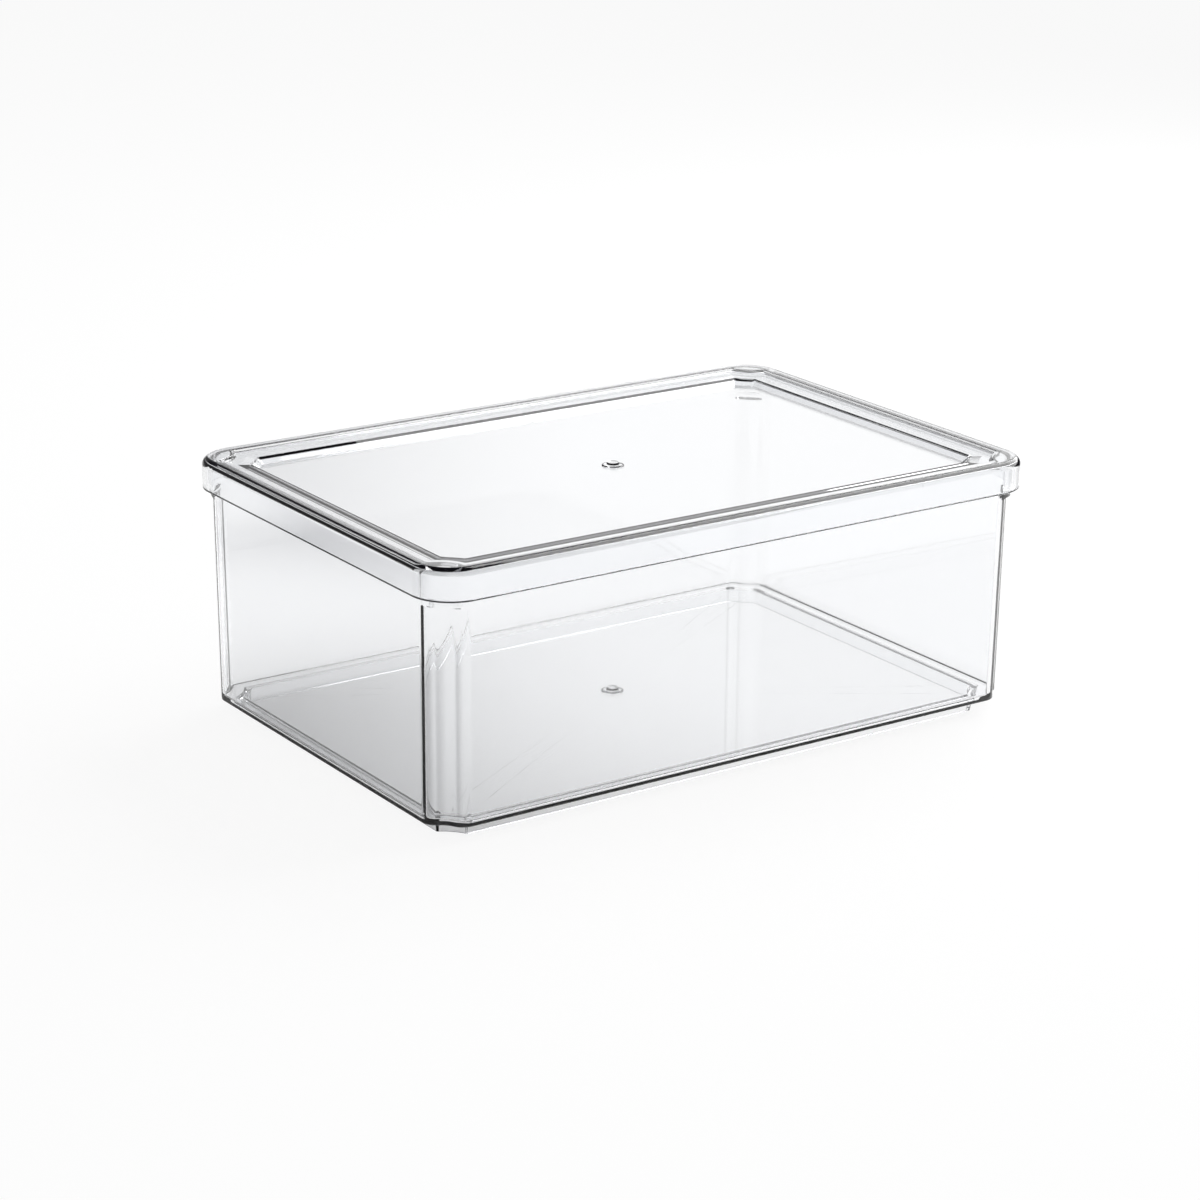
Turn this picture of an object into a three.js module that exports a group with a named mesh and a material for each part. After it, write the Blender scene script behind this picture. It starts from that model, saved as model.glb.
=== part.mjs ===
// Clear lidded storage bin for a refrigerator shelf: a moulded bin and a lid that lifts off it.
// Millimetres, +Z up. The origin is the middle of the foot, on the surface that the bin stands on.
// A section point is an inset, measured inwards from the outside of the bin's mouth, and a height.
import * as THREE from 'three';

// Bin sizes
const BIN_LENGTH = 313.2;
const BIN_WIDTH = 208.7;
const BIN_HEIGHT = 119.5;
const BIN_WALL = 3.0;
const WALL_LEAN = 1.0;
const MOUTH_CORNER_RADIUS = 15.6;
const MOUTH_EDGE_RADIUS = 0.6;

// Upright corner flutes
const FLUTE_RADIUS = 9.8;
const FLUTE_EDGE_RADIUS = 7.5;
const FLUTE_TOP = 103.2;
const FLUTE_CAP_RISE = 0.8;

// Floor, and the foot that stands round its underside
const FLOOR_THICKNESS = 2.0;
const FLOOR_EDGE_RADIUS = 0.5;
const FLOOR_INNER_RADIUS = 1.2;
const FOOT_HEIGHT = 6.9;
const FOOT_SETBACK = 7.6;
const FOOT_TAPER = 1.2;
const FOOT_RIM_WIDTH = 1.6;
const FOOT_DRAFT = 0.2;
const FOOT_EDGE_RADIUS = 0.3;
const FOOT_FLUTE_RADIUS = 11.2;
const FOOT_CUSP_RADIUS = 1.0;

// Lid sizes
const LID_WALL = 1.8;
const SKIRT_WALL = 2.0;
const SKIRT_HEIGHT = 14.4;
const SKIRT_EDGE_RADIUS = 0.5;
const RIM_EDGE_RADIUS = 3.5;
const RIM_STEP_LEAN = 0.5;
const SHELF_DROP = 2.0;
const SHELF_WIDTH = 9.75;
const SHELF_THICKENING = 0.7;
const PANEL_DROP = 2.6;
const PANEL_SLOPE = 3.2;
const LID_FLUTE_RADIUS = 11.9;
const LID_FLUTE_EDGE_RADIUS = 1.6;

// Fits between the lid and the bin
const SKIRT_GAP = 1.4;
const PLUG_GAP = 0.3;
const SEAT_GAP = 0.3;

// Gate marks: a round dish with a nub at its middle
const GATE_DISH_RADIUS = 5.0;
const GATE_DISH_DEPTH = 0.5;
const GATE_DISH_SLOPE = 0.8;
const GATE_NUB_RADIUS = 1.6;
const GATE_NUB_SLOPE = 0.4;
const GATE_NUB_HEIGHT = 0.3;

// Facets
const FLUTE_STEPS = 8;
const EDGE_STEPS = 4;
const CORNER_STEPS = FLUTE_STEPS + 2 * EDGE_STEPS;
const BEND_STEPS = 3;

const QUARTER_TURN = Math.PI / 2;
const HALF_LENGTH = BIN_LENGTH / 2;
const HALF_WIDTH = BIN_WIDTH / 2;
const CORNERS = [[1, 1], [-1, 1], [-1, -1], [1, -1]];

// One corner from side to side, in distances inwards from the two sides of the mouth
function flutedCorner(lean, offset, flute, edge) {
  const radius = flute + offset;
  const side = offset + edge;
  const along = Math.sqrt((radius + edge) ** 2 - side ** 2);
  const turn = Math.atan2(along, side);
  const arcs = [
    [new THREE.ArcCurve(side, along, edge, Math.PI, Math.PI + turn, false), EDGE_STEPS],
    [new THREE.ArcCurve(0, 0, radius, turn, QUARTER_TURN - turn, true), FLUTE_STEPS],
    [new THREE.ArcCurve(along, side, edge, 3 * QUARTER_TURN - turn, 3 * QUARTER_TURN, false), EDGE_STEPS],
  ];
  const points = arcs.flatMap(([arc, steps], i) => arc.getPoints(steps).slice(i === 0 ? 0 : 1));
  return points.map((point) => point.addScalar(lean));
}

function roundedCorner(inset) {
  const centre = MOUTH_CORNER_RADIUS;
  const arc = new THREE.ArcCurve(centre, centre, centre - inset, Math.PI, 3 * QUARTER_TURN, false);
  return arc.getPoints(CORNER_STEPS);
}

// A closed outline, anticlockwise from above, with the same corner at all four places
function outline(corner, height) {
  return CORNERS.flatMap(([sideX, sideY], i) => {
    const points = i % 2 === 0 ? corner : [...corner].reverse();
    return points.map(({ x, y }) => (
      new THREE.Vector3(sideX * (HALF_LENGTH - x), sideY * (HALF_WIDTH - y), height)
    ));
  });
}

function fluted(lean, offset, height, flute, edge) {
  return outline(flutedCorner(lean, offset, flute, edge), height);
}

function rounded(inset, height) {
  return outline(roundedCorner(inset), height);
}

// A circle with as many points as an outline, turned to face the outline's corners
function circle(radius, height) {
  const count = CORNERS.length * (CORNER_STEPS + 1);
  const step = (2 * Math.PI) / count;
  return Array.from({ length: count }, (_, i) => {
    const angle = (i + 0.5) * step;
    return new THREE.Vector3(radius * Math.cos(angle), radius * Math.sin(angle), height);
  });
}

// Outlines along a round bend of the section, from one angle to another about the bend's centre
function bend(inset, height, radius, from, to, makeOutline) {
  return Array.from({ length: BEND_STEPS + 1 }, (_, i) => {
    const angle = from + ((to - from) * i) / BEND_STEPS;
    return makeOutline(inset - radius * Math.cos(angle), height + radius * Math.sin(angle));
  });
}

// Circles of a gate mark, from its nub outwards; a positive depth sinks the dish below the height
function gateMark(height, depth, nubHeight) {
  return [
    circle(GATE_NUB_RADIUS - GATE_NUB_SLOPE, height - depth + nubHeight),
    circle(GATE_NUB_RADIUS, height - depth),
    circle(GATE_DISH_RADIUS - GATE_DISH_SLOPE, height - depth),
    circle(GATE_DISH_RADIUS, height),
  ];
}

// A closed solid through a row of outlines: its surface starts under the middle and ends over it
function loft(rings) {
  const count = rings[0].length;
  const positions = rings.flat().flatMap((p) => [p.x, p.y, p.z]);
  const triangles = [];
  for (let r = 0; r < rings.length - 1; r += 1) {
    for (let i = 0; i < count; i += 1) {
      const here = r * count + i;
      const next = r * count + ((i + 1) % count);
      triangles.push(here, next, next + count, here, next + count, here + count);
    }
  }
  const last = (rings.length - 1) * count;
  for (let i = 1; i < count - 1; i += 1) {
    triangles.push(0, i + 1, i);
    triangles.push(last, last + i, last + i + 1);
  }
  const geometry = new THREE.BufferGeometry();
  geometry.setAttribute('position', new THREE.Float32BufferAttribute(positions, 3));
  geometry.setIndex(triangles);
  geometry.computeVertexNormals();
  return geometry;
}

function leanAt(height) {
  return (WALL_LEAN * (BIN_HEIGHT - height)) / (BIN_HEIGHT - FOOT_HEIGHT);
}

function binRings() {
  const footLean = leanAt(FOOT_HEIGHT);
  const footOutside = FOOT_SETBACK + FOOT_TAPER;
  const footInside = footOutside + FOOT_RIM_WIDTH;
  const footRound = FOOT_EDGE_RADIUS;
  const floorTop = FOOT_HEIGHT + FLOOR_THICKNESS;
  const floorInset = BIN_WALL + FLOOR_INNER_RADIUS;
  const floorRound = FLOOR_EDGE_RADIUS;
  const capTop = FLUTE_TOP + FLUTE_CAP_RISE;
  const wall = (lean, offset, height) => (
    fluted(lean, offset, height, FLUTE_RADIUS, FLUTE_EDGE_RADIUS - offset)
  );
  const foot = (offset, height) => (
    fluted(footLean, offset, height, FOOT_FLUTE_RADIUS, FOOT_CUSP_RADIUS)
  );
  const floor = (offset, height) => wall(footLean, offset, height);
  const mouth = (inset, height) => rounded(inset + leanAt(height), height);
  const edgeHeight = BIN_HEIGHT - MOUTH_EDGE_RADIUS;
  const bulge = gateMark(floorTop, -GATE_DISH_DEPTH, 0);
  return [
    ...gateMark(FOOT_HEIGHT, -GATE_DISH_DEPTH, -GATE_NUB_HEIGHT),
    foot(footInside + FOOT_DRAFT, FOOT_HEIGHT),
    ...bend(footInside - footRound, footRound, footRound, 2 * QUARTER_TURN, 3 * QUARTER_TURN, foot),
    ...bend(footOutside + footRound, footRound, footRound, -QUARTER_TURN, 0, foot),
    foot(FOOT_SETBACK, FOOT_HEIGHT),
    ...bend(floorRound, FOOT_HEIGHT + floorRound, floorRound, -QUARTER_TURN, 0, floor),
    wall(leanAt(FLUTE_TOP), 0, FLUTE_TOP),
    mouth(0, capTop),
    ...bend(MOUTH_EDGE_RADIUS, edgeHeight, MOUTH_EDGE_RADIUS, 0, QUARTER_TURN, mouth),
    mouth(BIN_WALL, BIN_HEIGHT),
    mouth(BIN_WALL, capTop + BIN_WALL),
    wall(leanAt(FLUTE_TOP + BIN_WALL), BIN_WALL, FLUTE_TOP + BIN_WALL),
    ...bend(floorInset, floorTop + FLOOR_INNER_RADIUS, FLOOR_INNER_RADIUS, 0, -QUARTER_TURN, floor),
    ...bulge.reverse(),
  ];
}

function lidRings() {
  const rimUnder = BIN_HEIGHT + SEAT_GAP;
  const rimTop = rimUnder + LID_WALL;
  const shelfTop = rimTop - SHELF_DROP;
  const shelfUnder = shelfTop - LID_WALL;
  const panelTop = shelfTop - PANEL_DROP;
  const panelUnder = panelTop - LID_WALL;
  const skirtBottom = rimTop - SKIRT_HEIGHT;
  const skirtInside = -SKIRT_GAP;
  const skirtOutside = skirtInside - SKIRT_WALL;
  const plug = BIN_WALL + PLUG_GAP;
  const shelfOuter = plug + LID_WALL;
  const shelfInner = shelfOuter + SHELF_WIDTH;
  const panelEdge = shelfInner + PANEL_SLOPE;
  const underShift = LID_WALL * Math.tan(Math.atan2(PANEL_DROP, PANEL_SLOPE) / 2);
  const innerBend = RIM_EDGE_RADIUS - SKIRT_WALL;
  const upper = (offset, height) => (
    fluted(0, offset, height, LID_FLUTE_RADIUS, LID_FLUTE_EDGE_RADIUS)
  );
  const skirtMiddle = skirtOutside + SKIRT_EDGE_RADIUS;
  const rimMiddle = skirtOutside + RIM_EDGE_RADIUS;
  const dish = gateMark(panelTop, GATE_DISH_DEPTH, GATE_NUB_HEIGHT);
  return [
    ...gateMark(panelUnder, GATE_DISH_DEPTH, 0),
    upper(panelEdge - underShift, panelUnder),
    upper(shelfInner - underShift, shelfUnder - SHELF_THICKENING),
    upper(plug, shelfUnder),
    upper(plug, rimUnder),
    ...bend(skirtInside + innerBend, rimUnder - innerBend, innerBend, QUARTER_TURN, 0, rounded),
    rounded(skirtInside, skirtBottom),
    ...bend(skirtMiddle, skirtBottom + SKIRT_EDGE_RADIUS, SKIRT_EDGE_RADIUS, -QUARTER_TURN, 0, rounded),
    ...bend(rimMiddle, rimTop - RIM_EDGE_RADIUS, RIM_EDGE_RADIUS, 0, QUARTER_TURN, rounded),
    upper(shelfOuter - RIM_STEP_LEAN, rimTop),
    upper(shelfOuter, shelfTop),
    upper(shelfInner, shelfTop),
    upper(panelEdge, panelTop),
    ...dish.reverse(),
  ];
}

function piece(name, rings, colour) {
  const material = new THREE.MeshStandardMaterial({
    color: colour, roughness: 0.08, metalness: 0, transparent: true, opacity: 0.35,
  });
  const mesh = new THREE.Mesh(loft(rings), material);
  mesh.name = name;
  return mesh;
}

const organizer = new THREE.Group();
organizer.add(piece('bin', binRings(), 0xe9edf0));
organizer.add(piece('lid', lidRings(), 0xeef1f4));

export default organizer;
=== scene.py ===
import logging
import math
from dataclasses import dataclass, replace
from enum import Enum
from functools import partial
from typing import Callable

import bmesh
import bpy
from mathutils import Matrix, Vector


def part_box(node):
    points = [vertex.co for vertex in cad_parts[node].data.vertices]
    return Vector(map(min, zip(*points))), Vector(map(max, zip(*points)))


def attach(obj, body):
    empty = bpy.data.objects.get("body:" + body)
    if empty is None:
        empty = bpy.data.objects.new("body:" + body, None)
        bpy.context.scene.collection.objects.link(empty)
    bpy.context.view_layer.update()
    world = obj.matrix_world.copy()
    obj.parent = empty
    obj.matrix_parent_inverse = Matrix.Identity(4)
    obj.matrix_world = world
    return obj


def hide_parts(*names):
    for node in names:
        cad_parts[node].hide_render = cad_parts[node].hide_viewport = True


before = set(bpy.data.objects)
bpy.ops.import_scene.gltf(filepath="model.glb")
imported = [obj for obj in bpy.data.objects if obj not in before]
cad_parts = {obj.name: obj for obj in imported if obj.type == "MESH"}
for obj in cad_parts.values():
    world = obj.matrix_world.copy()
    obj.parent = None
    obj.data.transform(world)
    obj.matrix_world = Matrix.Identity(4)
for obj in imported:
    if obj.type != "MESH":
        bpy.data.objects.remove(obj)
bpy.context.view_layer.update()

LOG = logging.getLogger("storage_bin")
MM = 0.001
QUARTER_TURN = math.pi / 2
UPRIGHT = (0.0, 0.0, 1.0)
MERGE_DISTANCE = 0.001 * MM
HALF_A_BOUNCE = 0.5

Colour = tuple[float, float, float]
Place = tuple[float, float, float]
Rgba = tuple[float, float, float, float]
Span = tuple[float, float]
Socket = bpy.types.NodeSocket


class Corner(Enum):
    """How an outline of a moulding turns at its corner."""

    FLUTED = "a hollow flute between two small rounded edges"
    ROUNDED = "one plain round"
    CIRCLE = "a circle round the middle"


@dataclass(frozen=True)
class Flute:
    """The hollow flute of a corner.

    Attributes:
        radius: Its radius where the outline lies on the wall's outside.
        edge: The rounding of its two edges.
        shift: How far its axis lies outside the corner of the wall, along each side.
    """

    radius: float
    edge: float
    shift: float = 0.0

    def eased(self, amount: float) -> "Flute":
        """The same flute with its edges rounded less, as on an outline that lies further in."""
        return replace(self, edge=self.edge - amount)


@dataclass(frozen=True)
class Turn:
    """A corner of a moulding's section.

    Attributes:
        corner: How the outline through this point turns.
        inset: How far the point lies inside the mouth's outside, without the wall's lean.
        height: Its height over the surface that the bin stands on.
        radius: The rounding of the section at this point.
        flute: The flute of a fluted outline.
    """

    corner: Corner
    inset: float
    height: float
    radius: float = 0.0
    flute: Flute | None = None


@dataclass(frozen=True)
class Outline:
    """A level outline of a moulding: its corner, full inset, height, lean and flute."""

    corner: Corner
    inset: float
    height: float
    lean: float
    flute: Flute | None


@dataclass(frozen=True)
class Arc:
    """One spin about an upright axis: its centre, its turn from above and its steps."""

    centre: Vector
    turn: float
    steps: int


@dataclass(frozen=True)
class Route:
    """A quarter of an outline, from the middle of an end to the middle of a side."""

    start: Vector
    arcs: tuple[Arc, ...]
    first_leg: Vector | None = None
    end: Vector | None = None


@dataclass(frozen=True)
class MouthPlan:
    """The bin's mouth from above, from which every inset is measured.

    Attributes:
        half_length: Half the mouth's length.
        half_width: Half the mouth's width.
        corner_radius: The rounding of its corners.
        edge_steps: Steps round each edge of a flute.
        flute_steps: Steps round the hollow of a flute.
        straight_legs: Straight edges of a row, one on each side of its corner.
    """

    half_length: float
    half_width: float
    corner_radius: float = 15.6 * MM
    edge_steps: int = 16
    flute_steps: int = 12
    straight_legs: int = 2

    @property
    def corner_steps(self) -> int:
        """Steps round one whole corner."""
        return 2 * self.edge_steps + self.flute_steps

    @property
    def row_edges(self) -> int:
        """Edges in one row."""
        return self.corner_steps + self.straight_legs

    def circle_inset(self, radius: float) -> float:
        """Inset of a circle of this radius round the middle."""
        return self.half_length - radius

    def route(self, outline: Outline) -> Route:
        """Works out the spins that draw a quarter of an outline.

        Args:
            outline: The outline to draw.

        Returns:
            Its route, at the outline's height.
        """
        makers = {
            Corner.FLUTED: self._fluted,
            Corner.ROUNDED: self._rounded,
            Corner.CIRCLE: self._circle,
        }
        return makers[outline.corner](outline)

    def _fluted(self, outline: Outline) -> Route:
        """Works out a route whose corner is a hollow flute.

        Args:
            outline: The outline to draw.

        Returns:
            Its route, with a spin for each edge of the flute and one the other way for its hollow.
        """
        flute = outline.flute
        high = outline.height
        offset = outline.inset - outline.lean
        axis_x = self.half_length - outline.lean + flute.shift
        axis_y = self.half_width - outline.lean + flute.shift
        side = flute.shift + offset + flute.edge
        reach = flute.radius + offset + flute.edge
        along = math.sqrt(reach**2 - side**2)
        turn = math.atan2(along, side)
        arcs = (
            Arc(Vector((axis_x - side, axis_y - along, high)), turn, self.edge_steps),
            Arc(Vector((axis_x, axis_y, high)), QUARTER_TURN - 2 * turn, self.flute_steps),
            Arc(Vector((axis_x - along, axis_y - side, high)), turn, self.edge_steps),
        )
        return Route(
            start=Vector((self.half_length - outline.inset, 0.0, high)),
            arcs=arcs,
            first_leg=Vector((0.0, axis_y - along, 0.0)),
            end=Vector((0.0, self.half_width - outline.inset, high)),
        )

    def _rounded(self, outline: Outline) -> Route:
        """Works out a route whose corner is one plain round.

        Args:
            outline: The outline to draw.

        Returns:
            Its route, with one spin.
        """
        high = outline.height
        centre_x = self.half_length - self.corner_radius
        centre_y = self.half_width - self.corner_radius
        return Route(
            start=Vector((self.half_length - outline.inset, 0.0, high)),
            arcs=(Arc(Vector((centre_x, centre_y, high)), QUARTER_TURN, self.corner_steps),),
            first_leg=Vector((0.0, centre_y, 0.0)),
            end=Vector((0.0, self.half_width - outline.inset, high)),
        )

    def _circle(self, outline: Outline) -> Route:
        """Works out a quarter circle round the middle, with as many points as the other routes.

        Args:
            outline: The outline to draw.

        Returns:
            Its route, with one spin and no straight legs.
        """
        radius = self.half_length - outline.inset
        middle = Vector((0.0, 0.0, outline.height))
        arc = Arc(middle, QUARTER_TURN, self.row_edges)
        return Route(start=middle + Vector((radius, 0.0, 0.0)), arcs=(arc,))


@dataclass
class Section:
    """The section of a moulding, from under its middle, round its edge, to over its middle.

    Attributes:
        lean_at: The inward lean of the moulding's walls at a height.
        degrees_per_step: The turn of one step of a round.
        least_steps: The fewest steps of a round.
    """

    lean_at: Callable[[float], float]
    degrees_per_step: float = 15.0
    least_steps: int = 2

    def outlines(self, turns: list[Turn]) -> list[Outline]:
        """Rounds the section's corners and gives the outline through each of its points.

        Args:
            turns: The section's corners in order.

        Returns:
            The outlines, one for each point of the rounded section.
        """
        places = [Vector((t.inset + self._lean(t), t.height)) for t in turns]
        rows: list[Outline] = []
        for i, turn in enumerate(turns):
            points = [places[i]]
            if turn.radius > 0.0:
                points = self._rounding(places[i - 1], places[i], places[i + 1], turn.radius)
            for point in points:
                lean = self._lean(turn, point.y)
                flute = turn.flute and turn.flute.eased(point.x - lean - turn.inset)
                rows.append(Outline(turn.corner, point.x, point.y, lean, flute))
        return rows

    def _lean(self, turn: Turn, height: float | None = None) -> float:
        """Gives the inward lean of the wall.

        Args:
            turn: The corner of the section.
            height: A height near it, or None for its own.

        Returns:
            The lean, which is none on a circle round the middle.
        """
        if turn.corner is Corner.CIRCLE:
            return 0.0
        return self.lean_at(turn.height if height is None else height)

    def _rounding(self, before: Vector, here: Vector, after: Vector, radius: float) -> list[Vector]:
        """Points of the round that replaces one corner of the section.

        Args:
            before: The corner before it.
            here: The corner itself.
            after: The corner after it.
            radius: The round's radius.

        Returns:
            The points from where the round starts to where it ends.
        """
        back = (before - here).normalized()
        onward = (after - here).normalized()
        opening = back.angle(onward)
        sweep = math.pi - opening
        reach = radius / math.tan(opening / 2)
        middle = here + (back + onward).normalized() * (radius / math.sin(opening / 2))
        first = here + back * reach - middle
        way = 1.0 if back.cross(onward) < 0.0 else -1.0
        steps = max(self.least_steps, round(math.degrees(sweep) / self.degrees_per_step))
        return [middle + rotated(first, way * sweep * i / steps) for i in range(steps + 1)]


def rotated(vector: Vector, angle: float) -> Vector:
    """A flat vector turned anticlockwise by an angle."""
    return Matrix.Rotation(angle, 2) @ vector


def upright(height: float) -> float:
    """The lean of walls that have none at any height."""
    return 0.0


class ShellLoft:
    """Models a moulding by hand: quarter outlines are spun, bridged in order and mirrored."""

    SMOOTH_ANGLE = math.radians(40)

    def __init__(self, name: str, plan: MouthPlan) -> None:
        """Starts the mesh as a plate collapsed to one point.

        Args:
            name: The finished piece's name.
            plan: The mouth that the outlines are measured from.
        """
        self.plan = plan
        self.rows = 0
        bpy.ops.object.select_all(action="DESELECT")
        bpy.ops.mesh.primitive_plane_add(size=plan.corner_radius)
        self.piece = bpy.context.object
        self.piece.name = name
        self.piece.data.name = name
        bpy.ops.object.mode_set(mode="EDIT")
        bpy.ops.mesh.merge(type="CENTER")

    def trace(self, outline: Outline) -> None:
        """Draws a quarter of one outline as a row of edges.

        Args:
            outline: The outline to draw.
        """
        route = self.plan.route(outline)
        self._start_row(route.start)
        if route.first_leg is not None:
            self._extrude(route.first_leg)
        for arc in route.arcs:
            bpy.ops.mesh.spin(steps=arc.steps, angle=-arc.turn, center=arc.centre, axis=UPRIGHT)
        if route.end is not None:
            self._extrude(route.end - self._selected_place())
        self.rows += 1

    def finish(self) -> bpy.types.Object:
        """Bridges the rows, mirrors the quarter, closes the middle and smooths the shell.

        Returns:
            The finished piece.
        """
        self._bridge_rows()
        bpy.ops.object.mode_set(mode="OBJECT")
        mirror = self.piece.modifiers.new("quarters", "MIRROR")
        mirror.use_axis = (True, True, False)
        mirror.merge_threshold = MERGE_DISTANCE
        bpy.ops.object.modifier_apply(modifier=mirror.name)
        bpy.ops.object.mode_set(mode="EDIT")
        bpy.ops.mesh.select_mode(type="VERT")
        bpy.ops.mesh.select_all(action="DESELECT")
        bpy.ops.mesh.select_non_manifold()
        bpy.ops.mesh.fill_holes(sides=0)
        bpy.ops.mesh.select_all(action="SELECT")
        bpy.ops.mesh.normals_make_consistent(inside=False)
        bpy.ops.object.mode_set(mode="OBJECT")
        bpy.ops.object.shade_smooth_by_angle(angle=self.SMOOTH_ANGLE)
        weighted = self.piece.modifiers.new("flat_walls", "WEIGHTED_NORMAL")
        weighted.keep_sharp = True
        bpy.ops.object.modifier_apply(modifier=weighted.name)
        return self.piece

    def _start_row(self, start: Vector) -> None:
        """Selects one new point at a row's start: the first point moved, or a copy of it.

        Args:
            start: The place of the row's start.
        """
        mesh = bmesh.from_edit_mesh(self.piece.data)
        mesh.verts.ensure_lookup_table()
        bpy.ops.mesh.select_all(action="DESELECT")
        seed = mesh.verts[0]
        seed.select_set(True)
        move = start - seed.co
        if self.rows == 0:
            bpy.ops.transform.translate(value=move)
        else:
            bpy.ops.mesh.duplicate_move(TRANSFORM_OT_translate={"value": move})

    def _extrude(self, move: Vector) -> None:
        """Extrudes the selected point along a straight leg."""
        bpy.ops.mesh.extrude_region_move(TRANSFORM_OT_translate={"value": move})

    def _selected_place(self) -> Vector:
        """Place of the one selected point."""
        mesh = bmesh.from_edit_mesh(self.piece.data)
        return next(v.co.copy() for v in mesh.verts if v.select)

    def _bridge_rows(self) -> None:
        """Joins each row of edges to the next with faces."""
        row_edges = self.plan.row_edges
        bpy.ops.mesh.select_mode(type="EDGE")
        for row in range(self.rows - 1):
            bpy.ops.mesh.select_all(action="DESELECT")
            mesh = bmesh.from_edit_mesh(self.piece.data)
            mesh.edges.ensure_lookup_table()
            for edge in mesh.edges[row * row_edges:(row + 2) * row_edges]:
                edge.select_set(True)
            bpy.ops.mesh.bridge_edge_loops()


class NodeSketch:
    """Short way to add and link the nodes of one node tree."""

    MIX_FACTOR = 0
    MIX_FIRST = 6
    MIX_SECOND = 7
    MIX_RESULT = 2

    def __init__(self, tree: bpy.types.NodeTree) -> None:
        """Empties the tree and keeps it.

        Args:
            tree: The tree to fill.
        """
        self.tree = tree
        tree.nodes.clear()

    def add(
        self, kind: str, inputs: dict[str | int, object] | None = None, **settings: object
    ) -> bpy.types.Node:
        """Adds a node.

        Args:
            kind: The node's type.
            inputs: Values or output sockets for its inputs, by name or number.
            **settings: The node's own settings.

        Returns:
            The node.
        """
        node = self.tree.nodes.new(kind)
        for name, value in settings.items():
            setattr(node, name, value)
        for key, value in (inputs or {}).items():
            if isinstance(value, Socket):
                self.tree.links.new(value, node.inputs[key])
            else:
                node.inputs[key].default_value = value
        return node

    def math(self, operation: str, *values: float | Socket) -> Socket:
        """Adds a Math node on values or sockets and returns its output."""
        return self.add("ShaderNodeMath", dict(enumerate(values)), operation=operation).outputs[0]

    def span(
        self, value: float | Socket, low: float, high: float, to_low: float = 0.0, to_high: float = 1.0
    ) -> Socket:
        """Maps a value smoothly from one range to another.

        Args:
            value: The value or socket to map.
            low: The start of its range.
            high: The end of its range.
            to_low: What the start becomes.
            to_high: What the end becomes.

        Returns:
            The socket with the result.
        """
        inputs = {"Value": value, "From Min": low, "From Max": high, "To Min": to_low, "To Max": to_high}
        node = self.add("ShaderNodeMapRange", inputs, interpolation_type="SMOOTHSTEP")
        return node.outputs["Result"]

    def mix(self, factor: float | Socket, first: Rgba | Socket, second: Rgba | Socket) -> Socket:
        """Mixes two colours and returns the result."""
        inputs = {self.MIX_FACTOR: factor, self.MIX_FIRST: first, self.MIX_SECOND: second}
        return self.add("ShaderNodeMix", inputs, data_type="RGBA").outputs[self.MIX_RESULT]

    def along(self, place: Socket, way: Place) -> Socket:
        """Measures how far a place or direction lies along another direction."""
        node = self.add("ShaderNodeVectorMath", {0: place, 1: way}, operation="DOT_PRODUCT")
        return node.outputs["Value"]


@dataclass(frozen=True)
class RayKinds:
    """Masks of the kinds of ray that look at a floor or at the surroundings.

    Attributes:
        camera: Rays straight from the camera.
        through: Rays that come through the clear plastic.
        glass: Rays that come through the plastic or off its surface.
        unscattered: Rays that met no dull surface on their way.
    """

    camera: Socket
    through: Socket
    glass: Socket
    unscattered: Socket

    @classmethod
    def seen_by(cls, sketch: NodeSketch) -> "RayKinds":
        """Adds the nodes that tell the kinds of ray apart.

        Args:
            sketch: The nodes of the floor or of the surroundings.

        Returns:
            The masks.
        """
        path = sketch.add("ShaderNodeLightPath").outputs
        through = path["Is Transmission Ray"]
        glass = sketch.math("MAXIMUM", path["Is Glossy Ray"], through)
        unscattered = sketch.math("LESS_THAN", path["Diffuse Depth"], HALF_A_BOUNCE)
        return cls(path["Is Camera Ray"], through, glass, unscattered)


def rgba(colour: Colour) -> Rgba:
    """A colour with full opacity."""
    return (*colour, 1.0)


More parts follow.
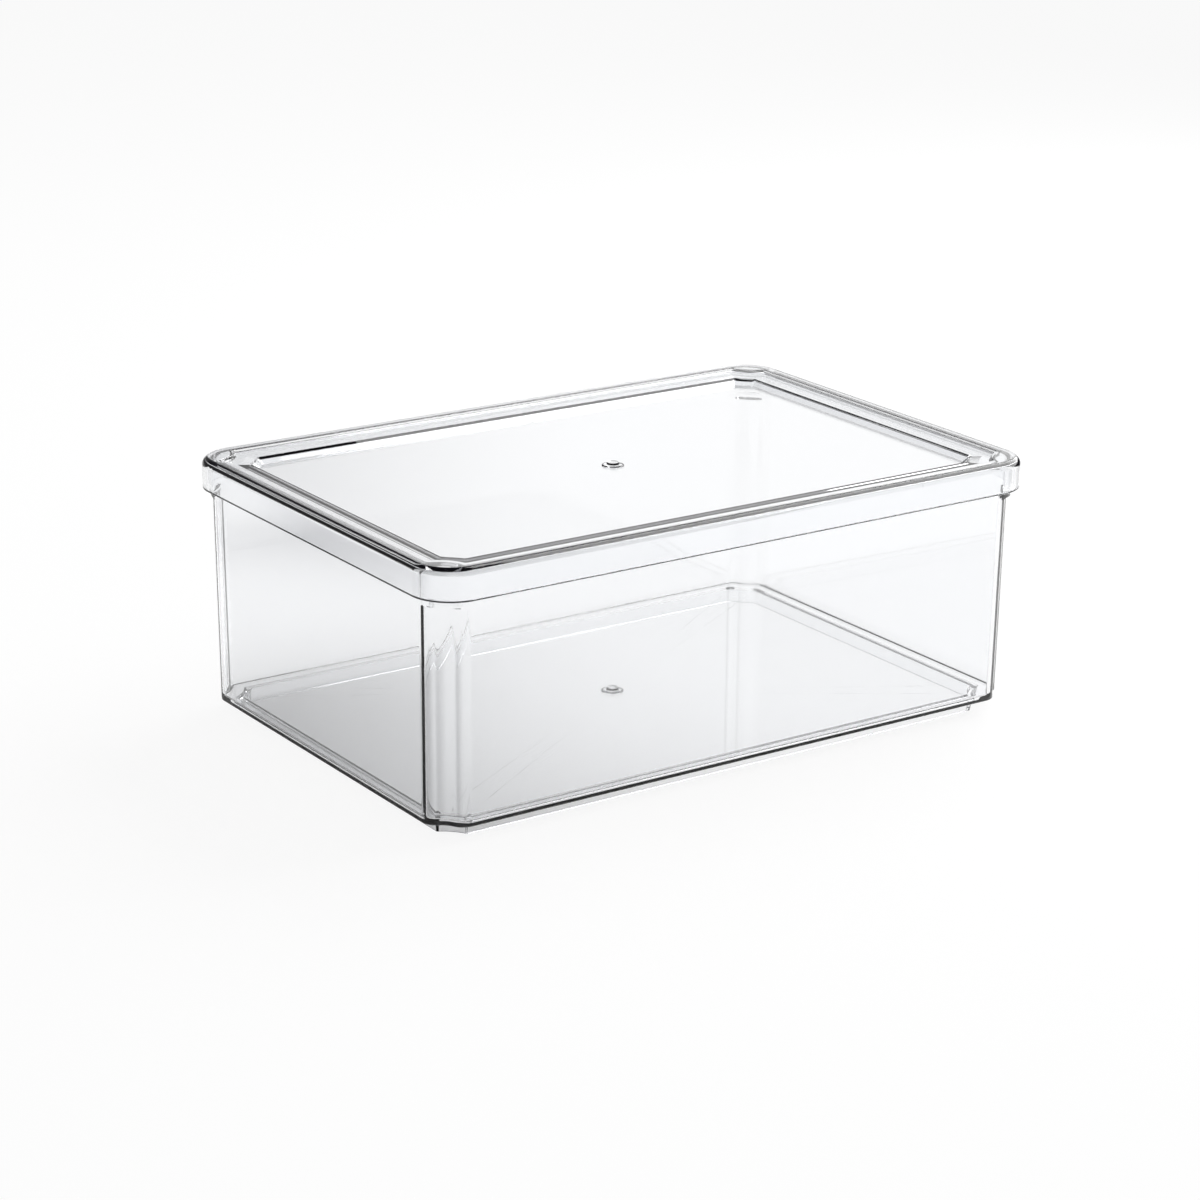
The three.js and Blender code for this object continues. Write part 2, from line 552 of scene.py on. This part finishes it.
@dataclass(frozen=True)
class MouldedSurface:
    """The marks that handled clear mouldings share: smudges, specks of dust and flow marks.

    Attributes:
        smudge_scale: How fine the smudges are.
        smudge_detail: How ragged they are.
        smudge_span: The part of the noise that turns from clean to smudged.
        speck_scale: How close the specks lie.
        flow_scale: How fine the flow marks are.
        flow_detail: How ragged they are.
    """

    smudge_scale: float = 16.0
    smudge_detail: float = 4.0
    smudge_span: Span = (0.45, 0.75)
    speck_scale: float = 75.0
    flow_scale: float = 22.0
    flow_detail: float = 1.0

    def group(self) -> bpy.types.NodeTree:
        """Builds the shared node group.

        Returns:
            A node group that puts out a roughness, a dust mask and a height.
        """
        tree = bpy.data.node_groups.new("moulded_surface", "ShaderNodeTree")
        sockets = tree.interface
        sockets.new_socket("Vector", in_out="INPUT", socket_type="NodeSocketVector")
        for name in ("Roughness", "Smudge", "Speck Size"):
            sockets.new_socket(name, in_out="INPUT", socket_type="NodeSocketFloat")
        for name in ("Roughness", "Dust", "Height"):
            sockets.new_socket(name, in_out="OUTPUT", socket_type="NodeSocketFloat")
        sketch = NodeSketch(tree)
        given = sketch.add("NodeGroupInput").outputs
        place = given["Vector"]
        cloud = sketch.add(
            "ShaderNodeTexNoise",
            {"Vector": place, "Scale": self.smudge_scale, "Detail": self.smudge_detail},
        )
        smudge = sketch.span(cloud.outputs["Fac"], *self.smudge_span)
        roughness = sketch.math("MULTIPLY_ADD", smudge, given["Smudge"], given["Roughness"])
        dots = sketch.add("ShaderNodeTexVoronoi", {"Vector": place, "Scale": self.speck_scale})
        speck = sketch.math("LESS_THAN", dots.outputs["Distance"], given["Speck Size"])
        flow = sketch.add(
            "ShaderNodeTexNoise",
            {"Vector": place, "Scale": self.flow_scale, "Detail": self.flow_detail},
        )
        sketch.add(
            "NodeGroupOutput",
            {"Roughness": roughness, "Dust": speck, "Height": flow.outputs["Fac"]},
        )
        return tree


@dataclass(frozen=True)
class ClearPlastic:
    """Clear polished plastic with faint smudges, dust and flow marks.

    Attributes:
        name: The material's name.
        tint: The faint colour of the plastic.
        dust: The colour of a speck of dust.
        ior: How strongly the plastic bends light.
        roughness: The roughness of clean plastic.
        smudge: What a smudge adds to the roughness.
        speck_size: The size of a speck against the distance between specks.
        flow_depth: The depth of the flow marks.
    """

    name: str
    tint: Colour = (0.975, 0.98, 0.988)
    dust: Colour = (0.80, 0.80, 0.82)
    ior: float = 1.57
    roughness: float = 0.012
    smudge: float = 0.03
    speck_size: float = 0.03
    flow_depth: float = 0.02 * MM

    def material(self, surface: bpy.types.NodeTree) -> bpy.types.Material:
        """Builds the material.

        Args:
            surface: The shared group of surface marks.

        Returns:
            The material.
        """
        material = bpy.data.materials.new(self.name)
        material.use_nodes = True
        sketch = NodeSketch(material.node_tree)
        given = {
            "Vector": sketch.add("ShaderNodeTexCoord").outputs["Object"],
            "Roughness": self.roughness,
            "Smudge": self.smudge,
            "Speck Size": self.speck_size,
        }
        marks = sketch.add("ShaderNodeGroup", given, node_tree=surface).outputs
        colour = sketch.mix(marks["Dust"], rgba(self.tint), rgba(self.dust))
        bump = sketch.add("ShaderNodeBump", {"Height": marks["Height"], "Distance": self.flow_depth})
        plastic = sketch.add(
            "ShaderNodeBsdfPrincipled",
            {
                "Base Color": colour,
                "Roughness": marks["Roughness"],
                "IOR": self.ior,
                "Transmission Weight": 1.0,
                "Normal": bump.outputs["Normal"],
            },
        )
        sketch.add("ShaderNodeOutputMaterial", {"Surface": plastic.outputs["BSDF"]})
        return material


@dataclass
class StorageBin:
    """The moulded bin: walls with fluted corners, a floor and a set-back, hollow foot under it.

    Attributes:
        plan: The bin's mouth from above.
        height: The height of the mouth's edge.
        wall: The thickness of the walls.
        lean: How far the walls lean in from the mouth down to the floor.
        rim_radius: The rounding of the mouth's edge.
        flute: The flutes on the outside of the corners.
        inner_flute: The flatter flutes on the inside, which make each corner a lens.
        flute_top: The height at which the flutes end.
        cap_rise: The height of the slope that closes them.
        floor_thickness: The thickness of the floor.
        floor_radius: The rounding of its outer edge.
        floor_inner_radius: The rounding between the floor and the walls inside.
        foot_height: The height of the foot, up to the floor.
        foot_setback: How far the foot lies inside the walls at its top.
        foot_taper: How much further in it lies at its bottom.
        foot_rim: The thickness of the foot's ring.
        foot_draft: How much thicker the ring is at its top.
        foot_flute: The flutes at the foot's corners.
        foot_cusp_thinning: How much less their edges are rounded inside.
        foot_radius: The rounding of the ring's bottom edges.
        foot_root_radius: The rounding between the ring and the floor.
        piece_name: The name of the finished piece.
    """

    plan: MouthPlan
    height: float
    wall: float = 3.0 * MM
    lean: float = 1.0 * MM
    rim_radius: float = 0.6 * MM
    flute: Flute = Flute(radius=9.8 * MM, edge=7.5 * MM)
    inner_flute: Flute = Flute(radius=19.85 * MM, edge=4.04 * MM, shift=7.42 * MM)
    flute_top: float = 103.2 * MM
    cap_rise: float = 0.8 * MM
    floor_thickness: float = 2.0 * MM
    floor_radius: float = 0.5 * MM
    floor_inner_radius: float = 1.2 * MM
    foot_height: float = 6.9 * MM
    foot_setback: float = 7.6 * MM
    foot_taper: float = 1.2 * MM
    foot_rim: float = 1.6 * MM
    foot_draft: float = 0.2 * MM
    foot_flute: Flute = Flute(radius=11.2 * MM, edge=0.6 * MM)
    foot_cusp_thinning: float = 0.4 * MM
    foot_radius: float = 0.3 * MM
    foot_root_radius: float = 0.4 * MM
    piece_name: str = "bin_shell"

    def lean_at(self, height: float) -> float:
        """Inward lean of the walls at a height; under the floor it is that of their lower end."""
        level = max(height, self.foot_height)
        return self.lean * (self.height - level) / (self.height - self.foot_height)

    def turns(self, gate: "GateMark") -> list[Turn]:
        """Corners of the bin's section.

        Args:
            gate: The gate mark at the middle of the floor.

        Returns:
            The corners, from under the floor's middle to over it.
        """
        foot_outside = self.foot_setback + self.foot_taper
        foot_inside = foot_outside + self.foot_rim
        floor_top = self.foot_height + self.floor_thickness
        cap_top = self.flute_top + self.cap_rise

        outside = partial(Turn, Corner.FLUTED, flute=self.flute)
        inside = partial(Turn, Corner.FLUTED, flute=self.inner_flute)
        foot = partial(Turn, Corner.FLUTED, flute=self.foot_flute)
        hollow = partial(Turn, Corner.FLUTED, flute=self.foot_flute.eased(self.foot_cusp_thinning))
        mouth = partial(Turn, Corner.ROUNDED)
        return [
            *gate.turns(self.plan, self.foot_height, -gate.nub_height),
            hollow(foot_inside + self.foot_draft, self.foot_height, self.foot_root_radius),
            hollow(foot_inside, 0.0, self.foot_radius),
            foot(foot_outside, 0.0, self.foot_radius),
            foot(self.foot_setback, self.foot_height, self.foot_root_radius),
            outside(0.0, self.foot_height, self.floor_radius),
            outside(0.0, self.flute_top),
            mouth(0.0, cap_top),
            mouth(0.0, self.height, self.rim_radius),
            mouth(self.wall, self.height, self.rim_radius),
            mouth(self.wall, cap_top + self.wall),
            inside(self.wall, self.flute_top + self.wall),
            inside(self.wall, floor_top, self.floor_inner_radius),
            *reversed(gate.turns(self.plan, floor_top, gate.nub_height)),
        ]

    def build(self, gate: "GateMark") -> bpy.types.Object:
        """Models the bin.

        Args:
            gate: The gate mark at the middle of the floor.

        Returns:
            The bin's piece.
        """
        loft = ShellLoft(self.piece_name, self.plan)
        for outline in Section(self.lean_at).outlines(self.turns(gate)):
            loft.trace(outline)
        return loft.finish()

    def dress(self, piece: bpy.types.Object, finish: bpy.types.Material) -> None:
        """Gives the bin its finish and its place in the frame.

        Args:
            piece: The bin's piece.
            finish: Its material.
        """
        piece.data.materials.append(finish)
        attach(piece, "bin")
        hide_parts("bin")


@dataclass
class StorageLid:
    """The moulded lid: a skirt, a rim, a shelf for the next bin's foot and a lower panel.

    Attributes:
        plan: The mouth of the bin under it, from above.
        bin_height: The height of that mouth's edge.
        bin_wall: The thickness of the bin's walls.
        wall: The thickness of the rim, the shelf and the panel.
        skirt_wall: The thickness of the skirt.
        skirt_height: Its height, from its bottom to the rim's top.
        skirt_radius: The rounding of its bottom edges.
        skirt_bevel: How much higher its bottom lies on the inside.
        rim_radius: The rounding of the rim's outer edge.
        rim_step_lean: How far the step from the rim to the shelf leans.
        shelf_drop: How far the shelf lies under the rim.
        shelf_width: The width of the shelf.
        shelf_wedge: How much thicker the shelf is at its inner edge.
        panel_drop: How far the panel lies under the shelf.
        panel_slope: The width of the slope between them.
        skirt_gap: The gap between the skirt and the bin's outside.
        plug_gap: The gap between the part inside the mouth and the bin's wall.
        seat_gap: The gap between the rim and the mouth's edge.
        step_radius: The rounding of the steps on top.
        under_radius: The rounding of the steps underneath.
        rim_under_radius: The rounding between the rim and the skirt inside.
        shelf_level: The width of the level outer part of the shelf's underside.
        flute: The flutes at the corners of the steps.
        piece_name: The name of the finished piece.
    """

    plan: MouthPlan
    bin_height: float
    bin_wall: float
    wall: float = 1.8 * MM
    skirt_wall: float = 2.0 * MM
    skirt_height: float = 14.4 * MM
    skirt_radius: float = 0.4 * MM
    skirt_bevel: float = 0.6 * MM
    rim_radius: float = 3.5 * MM
    rim_step_lean: float = 0.5 * MM
    shelf_drop: float = 2.0 * MM
    shelf_width: float = 9.75 * MM
    shelf_wedge: float = 0.45 * MM
    panel_drop: float = 2.6 * MM
    panel_slope: float = 3.2 * MM
    skirt_gap: float = 1.4 * MM
    plug_gap: float = 0.3 * MM
    seat_gap: float = 0.3 * MM
    step_radius: float = 0.6 * MM
    under_radius: float = 0.6 * MM
    rim_under_radius: float = 0.3 * MM
    shelf_level: float = 6.6 * MM
    flute: Flute = Flute(radius=11.9 * MM, edge=1.6 * MM)
    piece_name: str = "lid_shell"

    def turns(self, gate: "GateMark") -> list[Turn]:
        """Corners of the lid's section.

        Args:
            gate: The gate mark at the middle of the panel.

        Returns:
            The corners, from under the panel's middle to over it.
        """
        rim_under = self.bin_height + self.seat_gap
        rim_top = rim_under + self.wall
        shelf_top = rim_top - self.shelf_drop
        shelf_under = shelf_top - self.wall
        panel_top = shelf_top - self.panel_drop
        panel_under = panel_top - self.wall
        skirt_bottom = rim_top - self.skirt_height
        skirt_inside = -self.skirt_gap
        skirt_outside = skirt_inside - self.skirt_wall
        plug = self.bin_wall + self.plug_gap
        shelf_outer = plug + self.wall
        shelf_inner = shelf_outer + self.shelf_width
        panel_edge = shelf_inner + self.panel_slope
        under_shift = self.wall * math.tan(math.atan2(self.panel_drop, self.panel_slope) / 2)
        step = self.step_radius

        upper = partial(Turn, Corner.FLUTED, flute=self.flute)
        skirt = partial(Turn, Corner.ROUNDED)
        return [
            *gate.turns(self.plan, panel_under, 0.0),
            upper(panel_edge - under_shift, panel_under, self.under_radius),
            upper(shelf_inner - under_shift, shelf_under - self.shelf_wedge, self.under_radius),
            upper(plug + self.shelf_level, shelf_under, self.under_radius),
            upper(plug, shelf_under, self.under_radius),
            upper(plug, rim_under, self.under_radius),
            skirt(skirt_inside, rim_under, self.rim_under_radius),
            skirt(skirt_inside, skirt_bottom + self.skirt_bevel, self.skirt_radius),
            skirt(skirt_outside, skirt_bottom, self.skirt_radius),
            skirt(skirt_outside, rim_top, self.rim_radius),
            upper(shelf_outer - self.rim_step_lean, rim_top, step),
            upper(shelf_outer, shelf_top, step),
            upper(shelf_inner, shelf_top, step),
            upper(panel_edge, panel_top, step),
            *reversed(gate.turns(self.plan, panel_top, gate.nub_height)),
        ]

    def build(self, gate: "GateMark") -> bpy.types.Object:
        """Models the lid.

        Args:
            gate: The gate mark at the middle of the panel.

        Returns:
            The lid's piece.
        """
        loft = ShellLoft(self.piece_name, self.plan)
        for outline in Section(upright).outlines(self.turns(gate)):
            loft.trace(outline)
        return loft.finish()

    def dress(self, piece: bpy.types.Object, finish: bpy.types.Material) -> None:
        """Gives the lid its finish and its place in the frame.

        Args:
            piece: The lid's piece.
            finish: Its material.
        """
        piece.data.materials.append(finish)
        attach(piece, "lid")
        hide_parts("lid")


@dataclass(frozen=True)
class GateMark:
    """The low round boss with a nub that a moulding's gate leaves at the middle of its floor or panel.

    Attributes:
        boss_radius: The radius of the boss.
        boss_slope: The width of its sloping side.
        boss_height: How far it stands over what lies round it.
        nub_radius: The radius of the nub.
        nub_slope: The width of its sloping side.
        nub_height: How far it stands over the boss.
        rounding: The rounding of the boss.
    """

    boss_radius: float = 5.0 * MM
    boss_slope: float = 0.3 * MM
    boss_height: float = 0.5 * MM
    nub_radius: float = 2.9 * MM
    nub_slope: float = 0.3 * MM
    nub_height: float = 0.9 * MM
    rounding: float = 0.2 * MM

    def turns(self, plan: MouthPlan, height: float, nub_rise: float) -> list[Turn]:
        """Corners of the mark's section from its nub outwards.

        Args:
            plan: The mouth that insets are measured from.
            height: The height of the face round the mark.
            nub_rise: How far the nub's end lies over the boss.

        Returns:
            The corners.
        """
        def ring(radius: float, rise: float, rounding: float = 0.0) -> Turn:
            """A corner of the section at a radius from the middle."""
            return Turn(Corner.CIRCLE, plan.circle_inset(radius), height + rise, rounding)

        return [
            ring(self.nub_radius - self.nub_slope, self.boss_height + nub_rise),
            ring(self.nub_radius, self.boss_height),
            ring(self.boss_radius - self.boss_slope, self.boss_height, self.rounding),
            ring(self.boss_radius, 0.0, self.rounding),
        ]


@dataclass(frozen=True)
class PhotoCamera:
    """The camera at the photograph's viewing angle.

    Attributes:
        azimuth: Its turn about the upright axis, from looking along +Y.
        elevation: How steeply it looks down.
        roll: Its turn about its own axis.
        place: Where it stands, in metres.
        lens: Its focal length in millimetres.
        sensor: The width of its sensor in millimetres.
    """

    azimuth: float = math.radians(-34.32)
    elevation: float = math.radians(18.38)
    roll: float = math.radians(0.504)
    place: Place = (-0.80532, -1.17028, 0.52437)
    lens: float = 97.65
    sensor: float = 36.0

    def build(self) -> bpy.types.Object:
        """Makes the camera and sets it as the scene's.

        Returns:
            The camera.
        """
        data = bpy.data.cameras.new("photo_camera")
        data.sensor_width = self.sensor
        data.lens = self.lens
        camera = bpy.data.objects.new("photo_camera", data)
        bpy.context.scene.collection.objects.link(camera)
        level = math.cos(self.elevation)
        aside, ahead = math.sin(self.azimuth), math.cos(self.azimuth)
        back = Vector((aside * level, -ahead * level, math.sin(self.elevation)))
        right = Matrix.Rotation(self.roll, 3, back) @ Vector((ahead, aside, 0.0))
        above = back.cross(right)
        turn = Matrix((right, above, back)).transposed().to_4x4()
        camera.matrix_world = Matrix.Translation(self.place) @ turn
        bpy.context.scene.camera = camera
        return camera


@dataclass(frozen=True)
class Studio:
    """A white sheet in soft light from the right, in a room that is dark overhead and at the sides.

    The plastic shows the sheet, with a glow painted brighter towards the right, and in its bends the dark
    room, painted as shade on the floor beyond the sheet.
    Lengths on the floor are in metres, and heights and sides of the room are parts of a direction.

    Attributes:
        floor_size: The width of the floor.
        floor_gap: How far it lies under the bin's foot.
        white: The colour of the sheet.
        glow_strength: The strength at which the sheet glows where it is white.
        glow_seen: The share of that glow that the camera sees.
        glow_through: The share seen through the plastic, on the left and on the right; its rise to the right
            is painted light, which washes out the sheet's shadow more on the right.
        painted_light_span: The part of the floor, along +X, on which that share rises.
        right: The direction to the right of the camera.
        sheet_left: Where the room ends and the sheet starts, on the left.
        sheet_right: Where the sheet ends and the room starts, on the right.
        sheet_front: Where the room on the right starts, along +Y.
        sheet_back: Where the room on the left ends, along +Y.
        room: The colour of the dark room, painted as shade on the floor beyond the sheet for rays off the
            plastic, and of the surroundings far to the right.
        box_place: Where the softbox hangs.
        box_size: Its width.
        box_power: Its power.
        sky_level: The light of the surroundings on dull surfaces.
        sky_shaded: The same light, where it falls through the plastic.
        low_right: The surroundings low on the right, as the plastic shows them.
        low_left: The surroundings low on the left.
        side_span: Where the left turns into the right.
        side_end: Where the right turns into the dark room.
        overhead: The surroundings overhead.
        overhead_span: Where the low surroundings turn into those overhead.
    """

    floor_size: float = 40.0
    floor_gap: float = 0.2 * MM
    white: Colour = (1.0, 1.0, 1.0)
    glow_strength: float = 1.0
    glow_seen: float = 0.9
    glow_through: Span = (0.2, 0.92)
    painted_light_span: Span = (-0.27, 0.09)
    right: Place = (0.826, -0.564, 0.0)
    sheet_left: Span = (-0.45, -0.3)
    sheet_right: Span = (0.3, 0.45)
    sheet_front: Span = (-0.1, 0.1)
    sheet_back: Span = (0.3, 0.42)
    room: Colour = (0.06, 0.056, 0.072)
    box_place: Place = (1.0, 0.1, 0.85)
    box_size: float = 1.3
    box_power: float = 22.0
    sky_level: Colour = (0.45, 0.45, 0.45)
    sky_shaded: Colour = (0.15, 0.15, 0.15)
    low_right: Colour = (1.0, 1.0, 1.0)
    low_left: Colour = (0.2, 0.2, 0.21)
    side_span: Span = (-0.18, 0.0)
    side_end: Span = (0.3, 0.5)
    overhead: Colour = (0.08, 0.076, 0.095)
    overhead_span: Span = (0.35, 0.55)

    def build(self) -> None:
        """Makes the floor, the lamp and the surroundings."""
        bpy.context.scene.view_settings.view_transform = "Standard"
        self._floor()
        self._lamp()
        self._world()

    def _floor(self) -> None:
        """Lays the floor, a white sheet that keeps the bin's shadow."""
        bpy.ops.object.select_all(action="DESELECT")
        bpy.ops.mesh.primitive_plane_add(size=self.floor_size)
        floor = bpy.context.object
        floor.name = "studio_floor"
        floor.location.z = -self.floor_gap
        floor.data.materials.append(self._sheet())

    def _sheet(self) -> bpy.types.Material:
        """Makes the white sheet, whose glow the camera and the plastic see; the plastic also sees painted
        shade beyond the sheet and a glow painted brighter towards the right.

        Returns:
            The floor's material.
        """
        material = bpy.data.materials.new("white_floor")
        material.use_nodes = True
        sketch = NodeSketch(material.node_tree)
        rays = RayKinds.seen_by(sketch)
        place = sketch.add("ShaderNodeTexCoord").outputs["Object"]
        clear = sketch.math("MULTIPLY", rays.glass, rays.unscattered)
        # Painted shade: rays off the plastic see the floor beyond the sheet glow in the dark room's colour,
        # where the camera sees white.
        painted_shade_mask = sketch.math("MULTIPLY", self._painted_room_shade(sketch, place), clear)
        colour = sketch.mix(painted_shade_mask, rgba(self.white), rgba(self.room))
        seen = sketch.math("MULTIPLY", rays.camera, self.glow_seen)
        # Painted light: the glow that the plastic sees rises towards +X, so the sheet's shadow under the bin
        # shows dark on the left and is washed out on the right.
        along = sketch.add("ShaderNodeSeparateXYZ", {0: place}).outputs["X"]
        painted_glow_grade = sketch.span(along, *self.painted_light_span, *self.glow_through)
        through = sketch.math("MULTIPLY", rays.through, painted_glow_grade)
        share = sketch.math("MAXIMUM", sketch.math("MAXIMUM", seen, through), painted_shade_mask)
        paper = sketch.add("ShaderNodeBsdfDiffuse", {"Color": rgba(self.white)}).outputs[0]
        glow = sketch.add("ShaderNodeEmission", {"Color": colour, "Strength": self.glow_strength}).outputs[0]
        mixed = sketch.add("ShaderNodeMixShader", {0: share, 1: paper, 2: glow})
        sketch.add("ShaderNodeOutputMaterial", {"Surface": mixed.outputs[0]})
        return material

    def _painted_room_shade(self, sketch: NodeSketch, place: Socket) -> Socket:
        """Masks the dark room, painted as shade on the floor to the left of the white sheet and behind it on
        the right, which only the plastic sees.

        Args:
            sketch: The floor's nodes.
            place: The place on the floor.

        Returns:
            The mask, 1 off the sheet.
        """
        aside = sketch.along(place, self.right)
        ahead = sketch.add("ShaderNodeSeparateXYZ", {0: place}).outputs["Y"]
        left = sketch.span(aside, *self.sheet_left, 1.0, 0.0)
        left = sketch.math("MULTIPLY", left, sketch.span(ahead, *self.sheet_back, 1.0, 0.0))
        right = sketch.span(aside, *self.sheet_right)
        right = sketch.math("MULTIPLY", right, sketch.span(ahead, *self.sheet_front))
        return sketch.math("MAXIMUM", left, right)

    def _lamp(self) -> None:
        """Hangs one large softbox, which faces the bin from the right."""
        data = bpy.data.lights.new("softbox", "AREA")
        data.energy = self.box_power
        data.size = self.box_size
        lamp = bpy.data.objects.new("softbox", data)
        bpy.context.scene.collection.objects.link(lamp)
        place = Vector(self.box_place)
        lamp.location = place
        lamp.rotation_euler = place.to_track_quat("Z", "Y").to_euler()

    def _world(self) -> None:
        """Makes the white surroundings, which the plastic shows darker overhead and at the sides."""
        world = bpy.data.worlds.new("studio_white")
        world.use_nodes = True
        bpy.context.scene.world = world
        sketch = NodeSketch(world.node_tree)
        rays = RayKinds.seen_by(sketch)
        way = sketch.add("ShaderNodeTexCoord").outputs["Generated"]
        upward = sketch.add("ShaderNodeSeparateXYZ", {0: way}).outputs["Z"]
        aside = sketch.along(way, self.right)
        low = sketch.mix(sketch.span(aside, *self.side_span), rgba(self.low_left), rgba(self.low_right))
        low = sketch.mix(sketch.span(aside, *self.side_end), low, rgba(self.room))
        dome = sketch.mix(sketch.span(upward, *self.overhead_span), low, rgba(self.overhead))
        shown = sketch.mix(rays.unscattered, rgba(self.sky_shaded), dome)
        light = sketch.mix(rays.glass, rgba(self.sky_level), shown)
        colour = sketch.mix(rays.camera, light, rgba(self.white))
        shine = sketch.add("ShaderNodeBackground", {"Color": colour})
        sketch.add("ShaderNodeOutputWorld", {"Surface": shine.outputs[0]})


def main() -> None:
    """Builds the bin, the lid and the studio, and reports each piece."""
    logging.basicConfig(level=logging.INFO, format="%(name)s: %(message)s")
    low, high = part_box("bin")
    plan = MouthPlan(half_length=high.x, half_width=high.y)
    storage_bin = StorageBin(plan, height=high.z - low.z)
    lid = StorageLid(plan, storage_bin.height, storage_bin.wall)
    gate = GateMark()
    surface = MouldedSurface().group()
    for part, finish in (
        (storage_bin, ClearPlastic("clear_bin_plastic")),
        (lid, ClearPlastic("clear_lid_plastic")),
    ):
        piece = part.build(gate)
        part.dress(piece, finish.material(surface))
        LOG.info("%s: %d faces, %s", piece.name, len(piece.data.polygons), finish.name)
    Studio().build()
    PhotoCamera().build()


if __name__ == "__main__":
    main()
